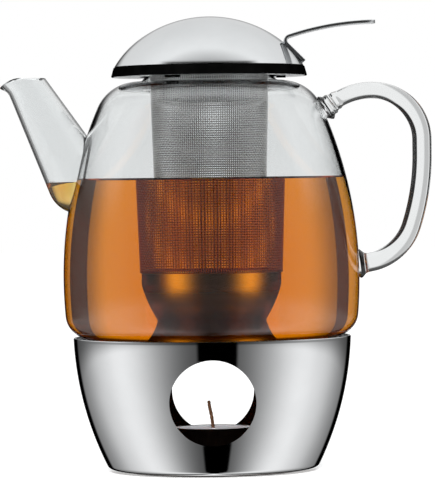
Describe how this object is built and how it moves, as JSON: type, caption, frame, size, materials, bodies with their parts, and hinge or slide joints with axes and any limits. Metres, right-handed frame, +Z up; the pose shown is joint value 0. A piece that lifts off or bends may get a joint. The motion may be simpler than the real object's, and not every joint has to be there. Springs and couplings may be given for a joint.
{
  "type": "glass teapot on a warmer",
  "caption": "Clear glass teapot with a hanging mesh strainer and a domed steel lid, standing on a round steel tealight warmer.",
  "frame": {"origin": "centre of the warmer's foot on the table, on the pot's axis", "axes": "+Z up, spout towards -X, handle and lever towards +X, the two round windows face -Y and +Y"},
  "size_m": [0.2042, 0.14, 0.2147],
  "materials": {
    "mirror_steel": "polished stainless steel",
    "satin_steel": "satin stainless steel",
    "wire_mesh": "woven fine stainless wire",
    "clear_glass": "clear borosilicate glass",
    "black_silicone": "satin silicone",
    "tin_cup": "pressed foil",
    "wax": "candle wax",
    "wick": "waxed cotton, singed"
  },
  "bodies": {
    "warmer": {"foot_pad": "black_silicone", "base_plate": "satin_steel", "warmer_shell": "mirror_steel", "pot_rest": "satin_steel", "rest_pads": "black_silicone", "tealight_dish": "satin_steel"},
    "tealight": {"tealight_cup": "tin_cup", "tealight_wax": "wax", "tealight_wick": "wick", "wick_sustainer": "tin_cup"},
    "pot": {"glass_body": "clear_glass", "glass_spout": "clear_glass", "glass_handle": "clear_glass"},
    "strainer": {"strainer_collar": "satin_steel", "strainer_mesh": "wire_mesh", "strainer_bowl": "mirror_steel"},
    "lid": {"lid_dome": "satin_steel", "lid_liner": "mirror_steel", "lid_band": "black_silicone", "lid_seal": "black_silicone", "lid_lever": "mirror_steel"}
  },
  "joints": [
    {"name": "pot_lift", "type": "slide", "parent": "warmer", "child": "pot", "axis": [0, 0, 1], "range_m": [0, 0.06]},
    {"name": "tealight_lift", "type": "slide", "parent": "warmer", "child": "tealight", "axis": [0, 0, 1], "range_m": [0, 0.024]},
    {"name": "strainer_lift", "type": "slide", "parent": "pot", "child": "strainer", "axis": [0, 0, 1], "range_m": [0, 0.13]},
    {"name": "lid_lift", "type": "slide", "parent": "strainer", "child": "lid", "axis": [0, 0, 1], "range_m": [0, 0.04]}
  ]
}
